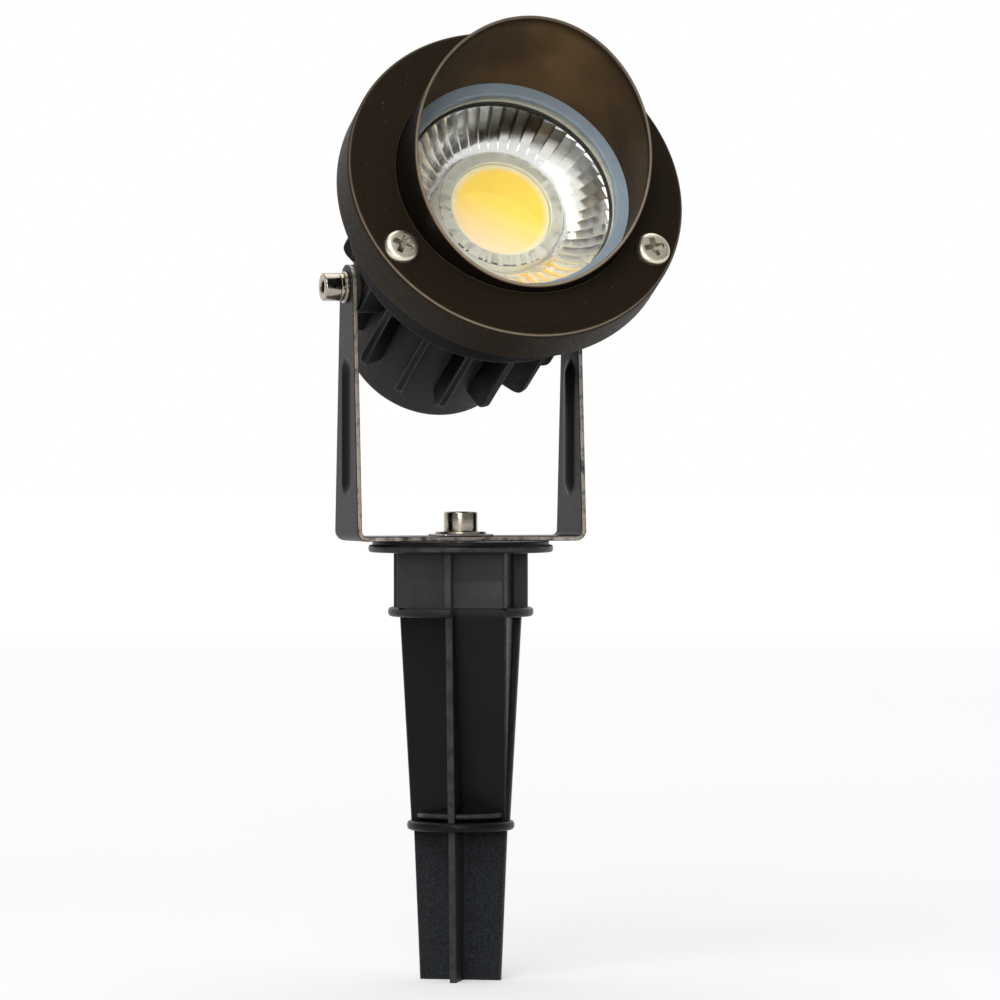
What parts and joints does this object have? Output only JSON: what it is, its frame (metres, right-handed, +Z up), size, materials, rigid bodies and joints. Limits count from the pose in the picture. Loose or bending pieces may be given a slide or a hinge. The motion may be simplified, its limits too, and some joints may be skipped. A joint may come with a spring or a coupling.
{
  "type": "garden spotlight",
  "caption": "Hooded garden spotlight whose finned lamp head tilts in a U-shaped yoke, which swivels on a bolt over a pointed, finned ground stake.",
  "frame": {"origin": "on the stake's axis at the ground line, with the stake's point below it", "axes": "+Z up along the stake and the yoke's swivel axis, +X along the tilt pivot, -Y to the front that the lamp faces"},
  "size_m": [0.085, 0.1079, 0.2885],
  "materials": {
    "stake_plastic": "satin moulded",
    "brass": "plain",
    "bright_steel": "polished nickel",
    "plate_steel": "plain",
    "yoke_paint": "satin, worn to bare metal at the edges",
    "black_casting": "matte black coat",
    "bronze_coat": "satin bronze coat",
    "friction_rubber": "matte",
    "silicone": "translucent silicone",
    "clear_glass": "clear",
    "clear_lens": "clear",
    "black_plastic": "matte",
    "bright_reflector": "mirror-bright facets",
    "white_plastic": "gloss",
    "phosphor": "soft gloss",
    "board_metal": "white mask",
    "pad_grey": "soft",
    "bare_aluminium": "machined",
    "zinc_steel": "zinc plated",
    "circuit_board": "solder mask",
    "coil_wrap": "tape wrap",
    "capacitor_sleeve": "shrink sleeve",
    "terminal_plastic": "moulded",
    "lead_sleeve": "insulation",
    "seal_rubber": "matte"
  },
  "bodies": {
    "stake": {"ground_stake": "stake_plastic", "stake_insert": "brass", "plate_washer": "plate_steel", "stake_washer": "bright_steel", "stake_bolt": "bright_steel"},
    "yoke": {"yoke_bracket": "yoke_paint"},
    "head": {"pivot_screws": "bright_steel", "pivot_spring_washers": "bright_steel", "pivot_flat_washers": "bright_steel", "bezel_screws": "bright_steel", "housing": "black_casting", "bezel": "bronze_coat", "glare_hood": "bronze_coat", "pivot_friction_pads": "friction_rubber", "glass_gasket": "silicone", "front_glass": "clear_glass", "centre_lens": "clear_lens", "retainer_ring": "black_plastic", "gland_body": "black_plastic", "gland_locknut": "black_plastic", "gland_nut": "black_plastic", "reflector": "bright_reflector", "lens_holder": "white_plastic", "cob_phosphor": "phosphor", "cob_board": "board_metal", "thermal_pad": "pad_grey", "heat_plate": "bare_aluminium", "plate_screws": "zinc_steel", "driver_board": "circuit_board", "driver_coil": "coil_wrap", "driver_capacitors": "capacitor_sleeve", "driver_terminal": "terminal_plastic", "led_leads": "lead_sleeve", "gland_seal": "seal_rubber"}
  },
  "joints": [
    {"name": "yoke_swivel", "type": "hinge", "parent": "stake", "child": "yoke", "pos_m": [0, 0, 0.1085], "axis": [0, 0, 1], "continuous": true},
    {"name": "head_tilt", "type": "hinge", "parent": "yoke", "child": "head", "pos_m": [0, 0, 0.1719], "axis": [-1, 0, 0], "range_deg": [-54, 93]}
  ]
}
